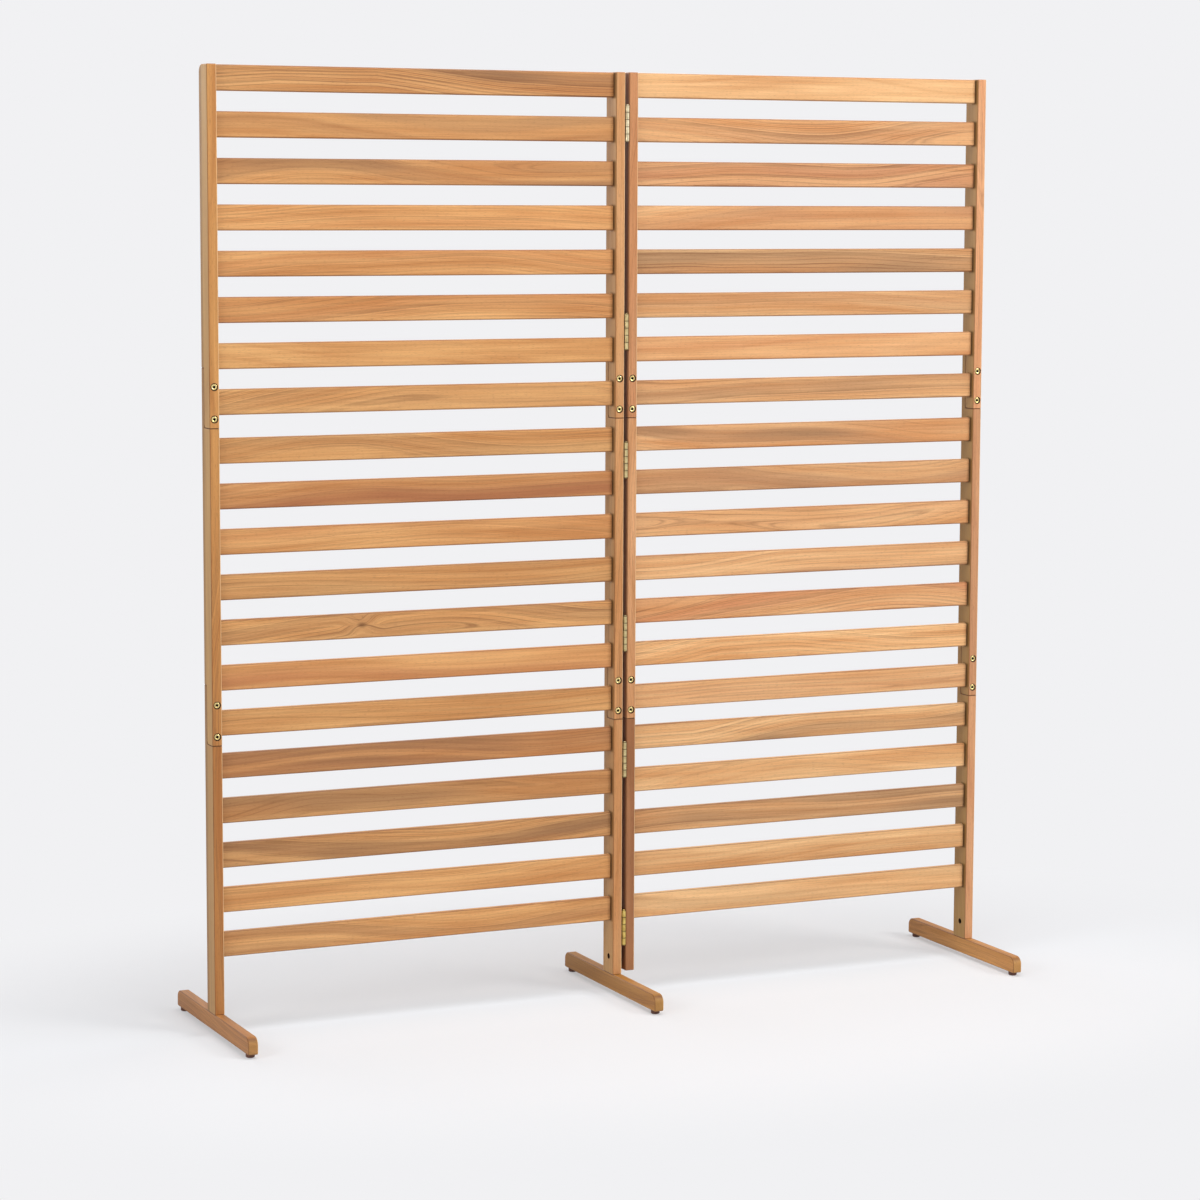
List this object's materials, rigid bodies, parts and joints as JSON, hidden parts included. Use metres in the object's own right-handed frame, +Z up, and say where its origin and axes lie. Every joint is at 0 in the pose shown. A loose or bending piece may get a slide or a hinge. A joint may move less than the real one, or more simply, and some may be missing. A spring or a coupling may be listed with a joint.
{
  "type": "folding garden screen",
  "caption": "Hinged two-leaf wooden privacy screen of horizontal slats in slim posts, standing on low cross feet; folds flat for storage.",
  "frame": {"origin": "on the ground, under the middle of the whole width and of the feet's length, leaves in one plane", "axes": "+X along the screen to the right leaf, -Y to the front where the bolt heads and hinge barrels show, +Z up"},
  "size_m": [1.55, 0.4, 1.7],
  "materials": {
    "post_wood": "oiled, fine straight grain",
    "slat_wood": "oiled, fine straight grain",
    "foot_wood": "oiled, fine straight grain",
    "brown_plastic": "matt",
    "hinge_brass": "satin, brass plated",
    "yellow_zinc": "satin, yellow zinc plated"
  },
  "bodies": {
    "left_panel": {"hinge_1_left_leaf": "hinge_brass", "hinge_1_pin": "hinge_brass", "hinge_2_left_leaf": "hinge_brass", "hinge_2_pin": "hinge_brass", "hinge_3_left_leaf": "hinge_brass", "hinge_3_pin": "hinge_brass", "hinge_4_left_leaf": "hinge_brass", "hinge_4_pin": "hinge_brass", "hinge_5_left_leaf": "hinge_brass", "hinge_5_pin": "hinge_brass", "hinge_6_left_leaf": "hinge_brass", "hinge_6_pin": "hinge_brass", "left_bottom_slats": "slat_wood", "left_hinge_screws": "hinge_brass", "left_inner_barrel_nut": "yellow_zinc", "left_inner_bottom_post": "post_wood", "left_inner_foot": "foot_wood", "left_inner_foot_bolt": "yellow_zinc", "left_inner_front_glide": "brown_plastic", "left_inner_middle_post": "post_wood", "left_inner_rear_glide": "brown_plastic", "left_inner_top_post": "post_wood", "left_joint_bolts": "yellow_zinc", "left_joint_nuts": "yellow_zinc", "left_middle_slats": "slat_wood", "left_outer_barrel_nut": "yellow_zinc", "left_outer_bottom_post": "post_wood", "left_outer_foot": "foot_wood", "left_outer_foot_bolt": "yellow_zinc", "left_outer_front_glide": "brown_plastic", "left_outer_middle_post": "post_wood", "left_outer_rear_glide": "brown_plastic", "left_outer_top_post": "post_wood", "left_top_slats": "slat_wood"},
    "right_panel": {"hinge_1_right_leaf": "hinge_brass", "hinge_2_right_leaf": "hinge_brass", "hinge_3_right_leaf": "hinge_brass", "hinge_4_right_leaf": "hinge_brass", "hinge_5_right_leaf": "hinge_brass", "hinge_6_right_leaf": "hinge_brass", "right_bottom_slats": "slat_wood", "right_hinge_screws": "hinge_brass", "right_inner_bottom_post": "post_wood", "right_inner_middle_post": "post_wood", "right_inner_top_post": "post_wood", "right_joint_bolts": "yellow_zinc", "right_joint_nuts": "yellow_zinc", "right_middle_slats": "slat_wood", "right_outer_barrel_nut": "yellow_zinc", "right_outer_bottom_post": "post_wood", "right_outer_foot": "foot_wood", "right_outer_foot_bolt": "yellow_zinc", "right_outer_front_glide": "brown_plastic", "right_outer_middle_post": "post_wood", "right_outer_rear_glide": "brown_plastic", "right_outer_top_post": "post_wood", "right_top_slats": "slat_wood"}
  },
  "joints": [
    {"name": "panel_fold", "type": "hinge", "parent": "left_panel", "child": "right_panel", "pos_m": [0.021, -0.01925, 0.85], "axis": [0, 0, -1], "range_deg": [-9, 180]}
  ]
}
